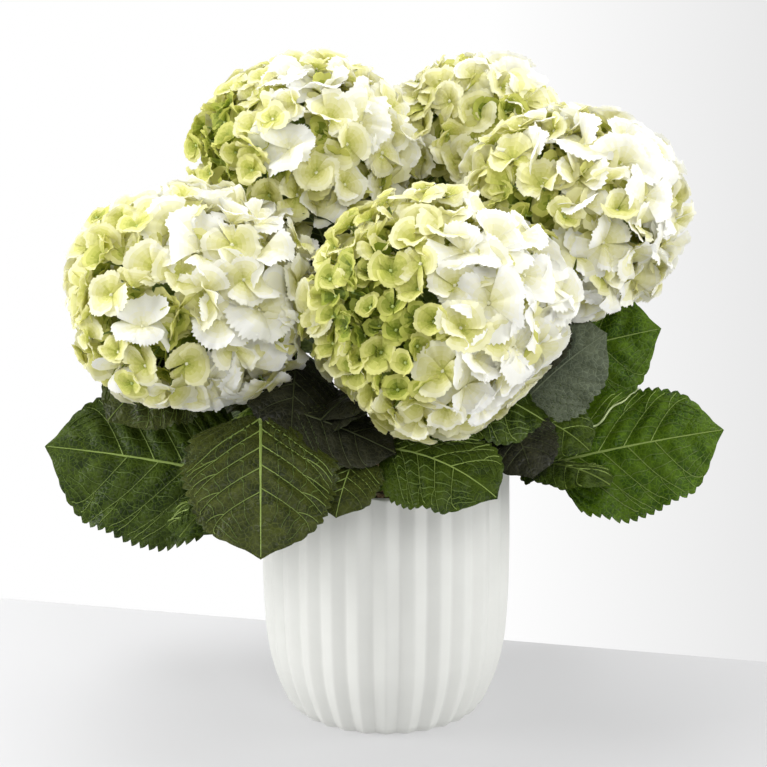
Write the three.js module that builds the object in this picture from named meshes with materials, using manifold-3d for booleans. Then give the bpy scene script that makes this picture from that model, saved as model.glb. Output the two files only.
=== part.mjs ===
// A white mophead hydrangea growing in a ribbed ceramic planter.
// Millimetres, +Z up. The origin is the middle of the planter's flat underside, and -Y is the front.
// Five canes leave a short woody crown, each carrying one ball of blossom, and nine leafy shoots
// stand round the crown under the blossom.

import * as THREE from 'three';
import { mergeVertices } from 'three/addons/utils/BufferGeometryUtils.js';
import Module from 'manifold-3d';

const wasm = await Module();
wasm.setup();

const clearance = 0.3; // between neighbouring solids

const planter = {
  height: 170,
  wall: 6,
  floor: 8,
  ribs: 28,
  ribDepth: 2.2,
  crownShare: 0.6, // share of each rib's pitch taken by its crown
  mixDepth: 4, // from the rim down to the potting mix
  mixGap: 0.5, // the wall's flat facets need a little more room than the clearance
  // height above the underside and radius over the ribs
  profile: [[0, 63.8], [3, 66], [13, 71], [40, 79.7], [67, 82.3], [98, 83.2], [170, 82.5]],
  innerHeights: [8, 40, 98, 170],
};

const crown = {
  top: 206,
  radius: 12.6,
  flare: 8, // how much wider the foot is than the top
  flareHeight: 4, // height over which the flare fades
  lean: new THREE.Vector2(1.5, -1),
  sides: 12,
  rings: 6,
};

const cane = {
  ring: 7.6, // the canes stand on this radius on top of the crown
  firstAzimuth: -75,
  rise: 25, // straight up before it bends to its bloom
  footRadius: 3.8,
  tipRadius: 3,
  sides: 8,
  steps: 6,
};

const bloom = {
  spacing: 52, // between florets' middles
  coverTo: 145, // degrees from the top of the ball down to the last florets
  coreShare: 0.74,
  coreSlices: 12,
  coreStacks: 8,
  ringShare: 0.9, // the florets' rims stand at this share of the radius
  floretSize: 52,
  neckLength: 14, // bare stalk between the cane's tip and the core
  notch: 0.7, // depth between two sepals, as a share of the floret's radius
  cup: 4,
  rootDepth: 9, // how far a floret's stalk is sunk in the core
  tilt: 0.3,
};

// centre, and half the width and half the height of each ball of blossom, in the canes' order
const blooms = [
  { name: 'front', centre: new THREE.Vector3(32, -92, 295), width: 90, height: 82 },
  { name: 'right', centre: new THREE.Vector3(120, 0, 339), width: 80, height: 73 },
  { name: 'back_right', centre: new THREE.Vector3(61, 103, 366), width: 67, height: 65 },
  { name: 'back_left', centre: new THREE.Vector3(-55, 50, 371), width: 81, height: 67 },
  { name: 'left', centre: new THREE.Vector3(-124, -36, 292), width: 91, height: 75 },
];

const shoot = {
  footRadius: 2.6,
  tipRadius: 2.1,
  sides: 5,
  steps: 3,
  footGap: 0.5, // the crown's flare needs a little more room than the clearance
  lowWhorl: 183,
  highWhorl: 197,
};

const leaf = {
  stalkRadius: 1.6,
  stalkSteps: 3,
  stalkSlope: 0.3, // the stalk takes this share of the slope that the blade starts with
  widthShare: 0.88,
  baseCurve: 0.5, // powers of the outline towards the base and towards the tip
  tipCurve: 0.76,
  fold: -6, // degrees that each half rises from the midrib
  thickness: 1.8,
  tipThickness: 0.8,
  intervals: 8,
  tooth: 0.045,
};

// azimuths in degrees from +X, counter-clockwise; each leaf gives the way its blade heads,
// the length of its stalk, the slope of its blade, its length, its roll and how far it bends down
const blade = (heading, stalk, slope, length, roll = 0, sag = 40) => (
  { heading, stalk, slope, length, roll, sag });
const shoots = [
  { name: 'front_left', azimuth: 219, foot: shoot.highWhorl, reach: 84, rise: 34, leaves: [
    blade(272, 34, -39, 112, -4), blade(203, 24, -50, 54, 12), blade(344, 24, -19, 74, 20, 10)] },
  { name: 'left', azimuth: 214, foot: shoot.lowWhorl, reach: 76, rise: -9, leaves: [
    blade(174, 34, 7, 129, -49, 8), blade(236, 30, -12, 84, 10), blade(146, 26, -8, 74)] },
  { name: 'front', azimuth: 259, foot: shoot.lowWhorl, reach: 60, rise: 22, leaves: [
    blade(327, 26, -15, 88, 26), blade(254, 34, -34, 52), blade(214, 22, -36, 54)] },
  { name: 'front_right', azimuth: 338, foot: shoot.highWhorl, reach: 66, rise: 18, leaves: [
    blade(340, 32, 42, 74, 66, 14), blade(288, 24, -30, 58, 20), blade(326, 30, -20, 56, 30)] },
  { name: 'right', azimuth: 345, foot: shoot.lowWhorl, reach: 76, rise: -8, leaves: [
    blade(357, 38, 12, 113, 43, 6), blade(318, 26, -2, 66), blade(30, 24, -16, 80)] },
  { name: 'right_upper', azimuth: 24, foot: shoot.highWhorl, reach: 58, rise: 26, leaves: [
    blade(3, 29, 14, 108, 58, 8), blade(52, 26, 8, 84), blade(90, 24, -8, 56)] },
  { name: 'back_right', azimuth: 50, foot: shoot.lowWhorl, reach: 64, rise: 32, leaves: [
    blade(48, 34, -30, 118), blade(12, 26, -38, 84), blade(88, 26, -38, 88)] },
  { name: 'back', azimuth: 98, foot: shoot.highWhorl, reach: 50, rise: 62, leaves: [
    blade(96, 36, -36, 122), blade(46, 30, -26, 96), blade(150, 30, -28, 96)] },
  { name: 'back_left', azimuth: 152, foot: shoot.lowWhorl, reach: 64, rise: 28, leaves: [
    blade(150, 36, -34, 120), blade(108, 26, -44, 84), blade(182, 26, -22, 84)] },
];

const colours = {
  ceramic: 0xe4e6e1,
  mix: 0x4b3b2c,
  wood: 0x8a7a55,
  cane: 0x6d8a3c,
  foliage: 0x3a6a24,
  blossom: 0xf0f2cf,
};

const up = new THREE.Vector3(0, 0, 1);
const rad = THREE.MathUtils.degToRad;

// The direction of an azimuth, tipped up by a slope.
function bearing(azimuth, slope = 0) {
  const [a, s] = [rad(azimuth), rad(slope)];
  return new THREE.Vector3(Math.cos(s) * Math.cos(a), Math.cos(s) * Math.sin(a), Math.sin(s));
}

// A seeded sequence of numbers from 0 to 1.
function sequence(seed) {
  let state = seed;
  return () => {
    state = (Math.imul(state, 1664525) + 1013904223) >>> 0;
    return state / 2 ** 32;
  };
}

function geometryOf(points, faces) {
  const geometry = new THREE.BufferGeometry().setFromPoints(points);
  geometry.setIndex(faces);
  return geometry;
}

function manifoldOf(geometry) {
  const bare = geometry.clone();
  bare.deleteAttribute('normal');
  bare.deleteAttribute('uv');
  const merged = mergeVertices(bare);
  return new wasm.Manifold(new wasm.Mesh({
    numProp: 3,
    vertProperties: Float32Array.from(merged.attributes.position.array),
    triVerts: Uint32Array.from(merged.index.array),
  }));
}

function geometryFrom(solid) {
  const mesh = solid.getMesh();
  const geometry = new THREE.BufferGeometry();
  geometry.setAttribute('position', new THREE.BufferAttribute(mesh.vertProperties, mesh.numProp));
  geometry.setIndex(new THREE.BufferAttribute(mesh.triVerts, 1));
  return geometry;
}

// Joins solids into one, and keeps the largest body where a cut has left a scrap.
function fuse(solids) {
  const joined = solids.reduce((whole, solid) => whole.add(solid));
  return joined.decompose().sort((a, b) => b.volume() - a.volume())[0];
}

// A closed skin over rings of points, each end closed by a fan about its middle.
function loft(rings) {
  const count = rings[0].length;
  const points = rings.flat();
  const faces = [];
  for (let level = 0; level < rings.length - 1; level += 1) {
    for (let i = 0; i < count; i += 1) {
      const a = level * count + i;
      const b = level * count + (i + 1) % count;
      faces.push(a, b, b + count, a, b + count, a + count);
    }
  }
  const middle = (ring) => ring.reduce((sum, p) => sum.add(p), new THREE.Vector3()).divideScalar(count);
  const last = (rings.length - 1) * count;
  const foot = points.push(middle(rings[0])) - 1;
  const head = points.push(middle(rings.at(-1))) - 1;
  for (let i = 0; i < count; i += 1) {
    const next = (i + 1) % count;
    faces.push(foot, next, i, head, last + i, last + next);
  }
  return geometryOf(points, faces);
}

// A tapering limb along a curve, cut square at both ends.
function limb(curve, footRadius, tipRadius, sides, steps) {
  const frames = curve.computeFrenetFrames(steps, false);
  const rings = frames.tangents.map((tangent, level) => {
    const share = level / steps;
    const centre = curve.getPointAt(share);
    const radius = THREE.MathUtils.lerp(footRadius, tipRadius, share);
    return Array.from({ length: sides }, (_, i) => {
      const turn = (i / sides) * 2 * Math.PI;
      return centre.clone()
        .addScaledVector(frames.normals[level], radius * Math.cos(turn))
        .addScaledVector(frames.binormals[level], radius * Math.sin(turn));
    });
  });
  return loft(rings);
}

function profileRadius(height) {
  const above = planter.profile.findIndex(([z]) => z >= height);
  const [z1, r1] = planter.profile[above];
  if (above === 0) return r1;
  const [z0, r0] = planter.profile[above - 1];
  return THREE.MathUtils.mapLinear(height, z0, z1, r0, r1);
}

// Azimuths of the rib section, three to a rib: both edges of its crown, and the groove after it.
function ribAngles() {
  const pitch = (2 * Math.PI) / planter.ribs;
  const front = -Math.PI / 2;
  const steps = [-planter.crownShare / 2, planter.crownShare / 2, 0.5];
  return Array.from({ length: planter.ribs }, (_, rib) => (
    steps.map((step, i) => ({ angle: front + (rib + step) * pitch, groove: i === 2 }))
  )).flat();
}

function ribbedPlanter() {
  const section = ribAngles();
  const ring = (radius, height, depth) => section.map(({ angle, groove }) => {
    const r = radius - (groove ? depth : 0);
    return new THREE.Vector3(r * Math.cos(angle), r * Math.sin(angle), height);
  });
  const outside = planter.profile.map(([z, r]) => ring(r, z, planter.ribDepth));
  const inside = planter.innerHeights.toReversed().map((z) => ring(profileRadius(z) - planter.wall, z, 0));
  return loft([...outside, ...inside]);
}

function pottingMix() {
  const foot = planter.floor + clearance;
  const head = planter.height - planter.mixDepth;
  const between = planter.innerHeights.filter((z) => z > foot && z < head);
  const innerRadius = (height) => {
    const above = planter.innerHeights.findIndex((z) => z >= height);
    const [z0, z1] = [planter.innerHeights[above - 1], planter.innerHeights[above]];
    return THREE.MathUtils.mapLinear(height, z0, z1, profileRadius(z0), profileRadius(z1)) - planter.wall;
  };
  const rings = [foot, ...between, head].map((z) => ribAngles()
    .filter(({ groove }) => groove)
    .map(({ angle }) => {
      const r = innerRadius(z) - planter.mixGap;
      return new THREE.Vector3(r * Math.cos(angle), r * Math.sin(angle), z);
    }));
  return loft(rings);
}

const crownFoot = planter.height - planter.mixDepth + clearance;

// Middle and radius of the crown at a height: it leans a little and flares at its foot.
function crownAt(height) {
  const share = (height - crownFoot) / (crown.top - crownFoot);
  const centre = new THREE.Vector3(crown.lean.x * share, crown.lean.y * share, height);
  const radius = crown.radius + crown.flare * Math.exp(-(height - crownFoot) / crown.flareHeight);
  return { centre, radius };
}

function woodyCrown() {
  const rings = Array.from({ length: crown.rings + 1 }, (_, level) => {
    const share = (level / crown.rings) ** 1.5;
    const { centre, radius } = crownAt(THREE.MathUtils.lerp(crownFoot, crown.top, share));
    return Array.from({ length: crown.sides }, (__, i) => (
      centre.clone().addScaledVector(bearing((i / crown.sides) * 360), radius)));
  });
  return loft(rings);
}

// Radius of a bloom's ball along a direction from its centre.
function ballRadius({ width, height }, direction) {
  const flat = Math.hypot(direction.x, direction.y) / width;
  return 1 / Math.hypot(flat, direction.z / height);
}

// The cane's bend, and the joint where the bloom's own stalk meets the cane's tip.
function caneRoute(spec, order) {
  const azimuth = cane.firstAzimuth + (order * 360) / blooms.length;
  const foot = crownAt(crown.top).centre.addScaledVector(bearing(azimuth), cane.ring);
  foot.z += clearance;
  const bend = foot.clone().addScaledVector(up, cane.rise);
  const axis = spec.centre.clone().sub(bend).normalize();
  const reach = bloom.coreShare * ballRadius(spec, axis) + bloom.neckLength;
  const joint = spec.centre.clone().addScaledVector(axis, -reach);
  return { foot, bend, joint, axis };
}

function caneLimb(spec, order) {
  const { foot, bend, joint } = caneRoute(spec, order);
  const curve = new THREE.QuadraticBezierCurve3(foot, bend, joint);
  return limb(curve, cane.footRadius, cane.tipRadius, cane.sides, cane.steps);
}

// A floret: four broad sepals round a shallow cup, narrowing to a stalk sunk in the core.
function floret(place, outward, turn, size, depth) {
  const side = new THREE.Vector3().crossVectors(up, outward).normalize();
  const other = new THREE.Vector3().crossVectors(outward, side);
  const rim = [];
  for (let i = 0; i < 8; i += 1) {
    const angle = turn + (i * Math.PI) / 4;
    const reach = (size / 2) * (i % 2 ? bloom.notch : 1);
    rim.push(place.clone()
      .addScaledVector(side, reach * Math.cos(angle))
      .addScaledVector(other, reach * Math.sin(angle)));
  }
  const cup = place.clone().addScaledVector(outward, -bloom.cup);
  const root = place.clone().addScaledVector(outward, -depth);
  const faces = rim.flatMap((_, i) => {
    const next = (i + 1) % rim.length;
    return [i, next, rim.length, next, i, rim.length + 1];
  });
  return manifoldOf(geometryOf([...rim, cup, root], faces));
}

// Planes that part a bloom from each neighbour that it would otherwise run into.
function partings(spec) {
  return blooms.filter((other) => other !== spec).flatMap((other) => {
    const way = other.centre.clone().sub(spec.centre);
    const distance = way.length();
    const normal = way.divideScalar(distance);
    const own = ballRadius(spec, normal);
    const theirs = ballRadius(other, normal);
    if (own + theirs < distance) return [];
    const point = spec.centre.clone().addScaledVector(normal, (distance * own) / (own + theirs));
    return [{ point, normal }];
  });
}

function cutBehind(solid, { point, normal }) {
  const size = 400;
  const block = new THREE.BoxGeometry(size, size, size);
  block.translate(0, 0, size / 2 - clearance / 2);
  block.applyQuaternion(new THREE.Quaternion().setFromUnitVectors(up, normal));
  block.translate(point.x, point.y, point.z);
  return solid.subtract(manifoldOf(block));
}

function bloomHead(spec, order) {
  const { joint, axis } = caneRoute(spec, order);
  const random = sequence(order + 1);
  const planes = partings(spec);
  const core = new THREE.SphereGeometry(1, bloom.coreSlices, bloom.coreStacks);
  core.scale(spec.width * bloom.coreShare, spec.width * bloom.coreShare, spec.height * bloom.coreShare);
  core.translate(...spec.centre);
  const neckFoot = joint.clone().addScaledVector(axis, clearance);
  const neck = new THREE.LineCurve3(neckFoot, spec.centre);
  const solids = [manifoldOf(core), manifoldOf(limb(neck, cane.tipRadius, cane.tipRadius, cane.sides, 1))];
  const toAxis = new THREE.Quaternion().setFromUnitVectors(up, axis);
  const golden = Math.PI * (3 - Math.sqrt(5));
  const cover = 1 - Math.cos(rad(bloom.coverTo));
  const count = Math.round((2 * Math.PI * cover * spec.width * spec.height) / (0.87 * bloom.spacing ** 2));
  for (let i = 0; i < count; i += 1) {
    const polar = 1 - ((i + 0.5) / count) * cover;
    const ring = Math.sqrt(1 - polar * polar);
    const way = new THREE.Vector3(ring * Math.cos(i * golden), ring * Math.sin(i * golden), polar);
    way.applyQuaternion(toAxis);
    const radius = ballRadius(spec, way) * (bloom.ringShare + 0.06 * random());
    const outward = way.clone().addScaledVector(axis, bloom.tilt * random()).normalize();
    const place = spec.centre.clone().addScaledVector(way, radius);
    const size = bloom.floretSize * (0.85 + 0.3 * random());
    const turn = random() * 2 * Math.PI;
    const outside = planes.some(({ point, normal }) => (
      place.clone().sub(point).dot(normal) > 0));
    const depth = radius * (1 - bloom.coreShare / bloom.ringShare) + bloom.rootDepth;
    if (!outside) solids.push(floret(place, outward, turn, size, depth));
  }
  const whole = solids.reduce((sum, solid) => sum.add(solid));
  return geometryFrom(fuse([planes.reduce(cutBehind, whole)]));
}

// Half the width of a blade along its midrib, as a share of its greatest.
function bladeOutline(share) {
  const { baseCurve, tipCurve } = leaf;
  const curve = (s) => s ** baseCurve * (1 - s) ** tipCurve;
  return curve(share) / curve(baseCurve / (baseCurve + tipCurve));
}

// Four points round a place on a leaf: top, one side, underneath and the other side.
function leafRing({ place, side, normal }, reach, thick) {
  const span = reach * Math.cos(rad(leaf.fold));
  const lift = reach * Math.sin(rad(leaf.fold));
  const at = (across, rise) => place.clone().addScaledVector(side, across).addScaledVector(normal, rise);
  return [at(0, thick), at(span, lift), at(0, -thick), at(-span, lift)];
}

// A stalk from the shoot's tip, and a blade whose midrib bends down evenly from base to tip.
function stalkedLeaf(hub, azimuth, { heading, stalk, slope, length, roll, sag }) {
  const turn = ((heading - azimuth + 540) % 360) - 180;
  const stalkWay = bearing(azimuth + turn / 2, leaf.stalkSlope * (slope + sag / 2));
  const rings = [];
  const place = hub.clone().addScaledVector(stalkWay, -shoot.tipRadius);
  const station = (along) => {
    const side = new THREE.Vector3().crossVectors(along, up).normalize().applyAxisAngle(along, rad(roll));
    return { place, side, normal: new THREE.Vector3().crossVectors(side, along) };
  };
  for (let i = 0; i < leaf.stalkSteps; i += 1) {
    rings.push(leafRing(station(stalkWay), leaf.stalkRadius, leaf.stalkRadius));
    place.addScaledVector(stalkWay, (stalk + shoot.tipRadius) / leaf.stalkSteps);
  }
  for (let i = 0; i <= leaf.intervals; i += 1) {
    const share = i / leaf.intervals;
    const along = bearing(heading, slope + sag * (0.5 - share));
    const tooth = 1 + (i % 2 ? leaf.tooth : -leaf.tooth);
    const reach = ((length * leaf.widthShare) / 2) * bladeOutline(share) * tooth;
    const thick = THREE.MathUtils.lerp(leaf.thickness, leaf.tipThickness, share) / 2;
    rings.push(leafRing(station(along), Math.max(reach, thick), thick));
    place.addScaledVector(along, length / leaf.intervals);
  }
  return manifoldOf(loft(rings));
}

function leafyShoot(spec) {
  const { centre, radius } = crownAt(spec.foot);
  const outward = bearing(spec.azimuth);
  const foot = centre.clone().addScaledVector(outward, radius + shoot.footGap);
  const hub = bearing(spec.azimuth).multiplyScalar(spec.reach).setZ(spec.foot + spec.rise);
  const bend = foot.clone().addScaledVector(outward, (spec.reach - radius) / 2);
  const stem = limb(new THREE.QuadraticBezierCurve3(foot, bend, hub),
    shoot.footRadius, shoot.tipRadius, shoot.sides, shoot.steps);
  const leaves = spec.leaves.map((entry) => stalkedLeaf(hub, spec.azimuth, entry));
  return geometryFrom(fuse([manifoldOf(stem), ...leaves]));
}

const group = new THREE.Group();

function place(name, geometry, color, roughness) {
  const material = new THREE.MeshStandardMaterial({ color, roughness, metalness: 0 });
  const mesh = new THREE.Mesh(geometry, material);
  mesh.name = name;
  group.add(mesh);
}

place('planter', ribbedPlanter(), colours.ceramic, 0.5);
place('potting_mix', pottingMix(), colours.mix, 0.95);
place('crown_stem', woodyCrown(), colours.wood, 0.85);
blooms.forEach((spec, order) => {
  place(`cane_${spec.name}`, caneLimb(spec, order), colours.cane, 0.7);
  place(`bloom_${spec.name}`, bloomHead(spec, order), colours.blossom, 0.8);
});
shoots.forEach((spec) => place(`leaves_${spec.name}`, leafyShoot(spec), colours.foliage, 0.6));

export default group;
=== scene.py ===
import math

import bpy
import numpy as np
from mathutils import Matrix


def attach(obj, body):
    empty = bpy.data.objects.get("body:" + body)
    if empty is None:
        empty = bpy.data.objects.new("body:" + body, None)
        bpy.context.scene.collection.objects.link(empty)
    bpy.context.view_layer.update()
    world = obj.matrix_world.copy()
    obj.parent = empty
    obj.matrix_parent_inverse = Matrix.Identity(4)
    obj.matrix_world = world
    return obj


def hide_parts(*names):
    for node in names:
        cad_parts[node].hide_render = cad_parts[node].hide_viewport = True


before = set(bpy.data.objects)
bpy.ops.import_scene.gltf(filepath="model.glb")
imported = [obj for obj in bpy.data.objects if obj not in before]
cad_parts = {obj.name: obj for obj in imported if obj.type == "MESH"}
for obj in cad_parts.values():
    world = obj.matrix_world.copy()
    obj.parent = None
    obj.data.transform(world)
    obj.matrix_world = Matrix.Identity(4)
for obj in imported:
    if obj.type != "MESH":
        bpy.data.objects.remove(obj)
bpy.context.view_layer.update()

# A mophead hydrangea in a ribbed planter. Lengths below are in millimetres and are turned
# into metres only when a mesh is made. Front is -Y.
mm = 0.001
up = np.array([0.0, 0.0, 1.0])
golden = math.pi * (3 - math.sqrt(5))


def unit(v):
    v = np.asarray(v, float)
    return v / np.maximum(np.linalg.norm(v, axis=-1, keepdims=True), 1e-9)


def bearing(azimuth, slope=0.0):
    a, s = math.radians(azimuth), math.radians(slope)
    return np.array([math.cos(s) * math.cos(a), math.cos(s) * math.sin(a), math.sin(s)])


def around(count):
    return np.linspace(0, 2 * math.pi, count, endpoint=False)


def turned(v, axis, degrees):
    a = math.radians(degrees)
    return (v * math.cos(a) + np.cross(axis, v) * math.sin(a)
            + axis * np.dot(axis, v) * (1 - math.cos(a)))


def gridFaces(rows, columns, wrap=False):
    # quads of a grid of points, rows x columns; wrap joins the last column to the first
    across = columns if wrap else columns - 1
    i, j = np.meshgrid(np.arange(rows - 1), np.arange(across), indexing="ij")
    a = i * columns + j
    b = i * columns + (j + 1) % columns
    return np.stack([a, b, b + columns, a + columns], axis=-1).reshape(-1, 4)


def addObject(name, data):
    thing = bpy.data.objects.new(name, data)
    bpy.context.collection.objects.link(thing)
    return thing


class Pile:
    # points and faces gathered into one mesh, each face with the number of its paint
    def __init__(self):
        self.points, self.faces, self.paints, self.count = [], [], [], 0

    def add(self, points, faces, paint=0):
        points = np.asarray(points, float).reshape(-1, 3)
        self.points.append(points)
        self.count += len(points)
        self.addFaces(faces, paint, self.count - len(points))

    def addFaces(self, faces, paint, start):
        self.faces.append(np.asarray(faces) + start)
        self.paints.append(np.broadcast_to(paint, (len(faces),)))

    def mesh(self, name, materials):
        points = np.concatenate(self.points) * mm
        corners = np.concatenate([faces.ravel() for faces in self.faces])
        sizes = np.concatenate([np.full(len(faces), faces.shape[1]) for faces in self.faces])
        mesh = bpy.data.meshes.new(name)
        mesh.vertices.add(len(points))
        mesh.vertices.foreach_set("co", points.ravel())
        mesh.loops.add(len(corners))
        mesh.loops.foreach_set("vertex_index", corners.astype(np.int32))
        mesh.polygons.add(len(sizes))
        mesh.polygons.foreach_set("loop_start", (np.cumsum(sizes) - sizes).astype(np.int32))
        for material in materials:
            mesh.materials.append(material)
        mesh.polygons.foreach_set("material_index", np.concatenate(self.paints).astype(np.int32))
        mesh.polygons.foreach_set("use_smooth", np.ones(len(sizes), bool))
        mesh.update(calc_edges=True)
        return addObject(name, mesh)


def settle(piece, slotName, *nodes):
    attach(piece, "root")
    if nodes:
        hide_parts(*nodes)


def tube(pile, path, radii, sides, paint=0, closed=True):
    # a round limb along a path of points, with shrunken rings closing its ends
    path = np.asarray(path, float)
    tangents = unit(np.gradient(path, axis=0))
    upright = abs(tangents[0][2]) >= 0.95
    side = unit(np.cross(tangents[0], [1, 0, 0] if upright else up))
    rings = []
    turns = around(sides)
    radii = np.broadcast_to(radii, (len(path),))
    for place, tangent, radius in zip(path, tangents, radii):
        side = unit(side - tangent * np.dot(side, tangent))
        other = np.cross(tangent, side)
        ring = np.outer(np.cos(turns), side) + np.outer(np.sin(turns), other)
        rings.append(place + ring * radius)
    if closed:
        rings.insert(0, path[0] + (rings[0] - path[0]) * 0.02)
        rings.append(path[-1] + (rings[-1] - path[-1]) * 0.02)
    pile.add(np.concatenate(rings), gridFaces(len(rings), sides, True), paint)


def ballGrid(rows, columns, first, last):
    # polar angle, turn and direction of a ball's points, which start and end short of its poles
    p, t = np.meshgrid(np.linspace(first, math.pi - last, rows), around(columns), indexing="ij")
    return p, t, np.stack([np.sin(p) * np.cos(t), np.sin(p) * np.sin(t), np.cos(p)], axis=-1)


def bezier(a, b, c, steps):
    t = np.linspace(0, 1, steps)[:, None]
    return a * (1 - t) ** 2 + 2 * b * t * (1 - t) + c * t ** 2


def throughPoints(points, steps):
    # a smooth curve through a few points
    points = np.asarray(points, float)
    padded = np.vstack([2 * points[0] - points[1], points, 2 * points[-1] - points[-2]])
    curve = []
    for k in range(len(points) - 1):
        p0, p1, p2, p3 = padded[k:k + 4]
        for t in np.linspace(0, 1, steps, endpoint=False):
            curve.append(0.5 * (2 * p1 + (p2 - p0) * t + (2 * p0 - 5 * p1 + 4 * p2 - p3) * t ** 2
                                + (3 * p1 - p0 - 3 * p2 + p3) * t ** 3))
    curve.append(points[-1])
    return np.array(curve)


def rowOf(heights, table):
    # smooth radius at each height from a short table of heights and radii
    z, r = np.array(table, float).T
    slope = np.gradient(r, z)
    k = np.clip(np.searchsorted(z, heights, side="right") - 1, 0, len(z) - 2)
    gap = z[k + 1] - z[k]
    t = (heights - z[k]) / gap
    return ((2 * t ** 3 - 3 * t ** 2 + 1) * r[k] + (t ** 3 - 2 * t ** 2 + t) * gap * slope[k]
            + (3 * t ** 2 - 2 * t ** 3) * r[k + 1] + (t ** 3 - t ** 2) * gap * slope[k + 1])


def fill(tree, node, inputs):
    # gives a node's inputs their values, or links them where a value is another node's output
    for name, value in inputs.items():
        if isinstance(value, bpy.types.NodeSocket):
            tree.links.new(value, node.inputs[name])
        else:
            node.inputs[name].default_value = value


def addNode(tree, kind, **inputs):
    node = tree.nodes.new("ShaderNode" + kind)
    fill(tree, node, inputs)
    return node


def newMaterial(name, roughness, specular=0.5):
    material = bpy.data.materials.new(name)
    material.use_nodes = True
    tree = material.node_tree
    shader = tree.nodes["Principled BSDF"]
    fill(tree, shader, {"Roughness": roughness, "Specular IOR Level": specular})
    return material, tree, shader


def placeIn(tree, space="Object"):
    return addNode(tree, "TexCoord").outputs[space]


def grain(tree, scale, detail=4.0):
    return addNode(tree, "TexNoise", Scale=scale, Detail=detail, Vector=placeIn(tree)).outputs["Fac"]


def network(tree, scale):
    # distance to the nearest line of an irregular net
    cells = addNode(tree, "TexVoronoi", Scale=scale, Vector=placeIn(tree))
    cells.feature = "DISTANCE_TO_EDGE"
    return cells.outputs["Distance"]


def blendColours(tree, factor, low, high, lowAt=0.35, highAt=0.65):
    ramp = addNode(tree, "ValToRGB", Fac=factor)
    for element, place, colour in zip(ramp.color_ramp.elements, (lowAt, highAt), (low, high)):
        element.position, element.color = place, (*colour, 1)
    return ramp.outputs["Color"]


def alongX(tree, space, limits):
    # a value that changes evenly from left to right
    split = addNode(tree, "SeparateXYZ", Vector=placeIn(tree, space))
    return addNode(tree, "MapRange", Value=split.outputs["X"], **limits).outputs["Result"]


def addBump(tree, shader, height, strength, depth):
    bump = addNode(tree, "Bump", Strength=strength, Distance=depth, Height=height)
    fill(tree, shader, {"Normal": bump.outputs["Normal"]})


def addRelief(tree, shader, scale, strength, depth, detail=4.0):
    addBump(tree, shader, grain(tree, scale, detail), strength, depth)


def mottled(name, tones, patch, roughness, specular=0.5, relief=None):
    # two tones that grade into each other in patches
    material, tree, shader = newMaterial(name, roughness, specular)
    fill(tree, shader, {"Base Color": blendColours(tree, grain(tree, patch), *tones)})
    if relief:
        addRelief(tree, shader, *relief)
    return material


def even(name, colour, roughness, specular, relief):
    material, tree, shader = newMaterial(name, roughness, specular)
    fill(tree, shader, {"Base Color": (*colour, 1)})
    addRelief(tree, shader, *relief)
    return material


def glowThrough(material, colour, share):
    # thin living tissue lets some light through
    tree = material.node_tree
    mix = addNode(tree, "MixShader", Fac=share)
    behind = addNode(tree, "BsdfTranslucent", Color=(*colour, 1)).outputs["BSDF"]
    fill(tree, mix, {1: tree.nodes["Principled BSDF"].outputs["BSDF"], 2: behind})
    fill(tree, tree.nodes["Material Output"], {"Surface": mix.outputs["Shader"]})


planter = {
    "height": 170.0,
    "wall": 6.0,
    "profile": [(0, 63.8), (3, 66), (13, 71), (40, 79.7), (67, 82.3), (98, 83.2), (170, 82.5)],
    "ribs": 28,
    "pointsPerRib": 14,
    "grooveDepth": 3.0,
    "lobePower": 1.15,
    "edgeRound": 1.3,
    "flatInset": 5.0,
    "firstRow": 2.6,
    "rows": 56,
    "innerDepth": 14.0,
    # relief, here and below, is a fine grain's scale, strength, depth in metres and detail
    "glaze": {"tones": [(0.62, 0.625, 0.595), (0.64, 0.645, 0.615)], "patch": 38.0,
              "roughness": 0.5, "specular": 0.45, "relief": (420.0, 0.08, 0.0006, 2.0)},
}


def ribDepth(phase):
    # rounded lobes that meet in sharp valleys
    away = np.abs((phase + 0.5) % 1.0 - 0.5) * 2
    return planter["grooveDepth"] * away ** planter["lobePower"]


def makePlanter():
    height, lip = planter["height"], planter["edgeRound"]
    columns = planter["ribs"] * planter["pointsPerRib"]
    phase = np.arange(columns) / planter["pointsPerRib"]
    angles = -math.pi / 2 + phase * 2 * math.pi / planter["ribs"]
    depth = ribDepth(phase)
    foot, rim = rowOf(np.array([0.0, height]), planter["profile"])
    inner = rim - planter["wall"]
    rings = []

    def addRing(radius, z, ribbed=0.0):
        r = radius - depth * ribbed
        rings.append(np.stack([r * np.cos(angles), r * np.sin(angles), np.full(columns, z)], axis=-1))

    def addRound(radius, z, turns, ribbed=0.0):
        # rings round an edge whose middle lies at this radius and height
        for turn in np.radians(turns):
            addRing(radius + lip * math.cos(turn), z + lip * math.sin(turn), ribbed)

    addRing(0.5, 0)
    addRing(foot - planter["flatInset"], 0, 0.3)
    addRound(foot - lip, lip, np.linspace(-90, 0, 5), 0.9)
    heights = np.linspace(planter["firstRow"], height - lip, planter["rows"])
    for radius, z in zip(rowOf(heights, planter["profile"]), heights):
        addRing(radius, z, 1.0)
    for turn in np.linspace(20, 90, 4):
        addRound(rim - lip, height - lip, [turn], 1.0 - turn / 300)   # the grooves fade over the rim
    addRound(inner + lip, height - lip, np.linspace(90, 180, 5))
    addRing(inner, height - planter["innerDepth"])
    pile = Pile()
    pile.add(np.concatenate(rings), gridFaces(len(rings), columns, True))
    settle(pile.mesh("planter_body", [mottled("matt_glaze", **planter["glaze"])]), "glaze", "planter")
    print("planter:", len(rings), "rings")


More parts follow.
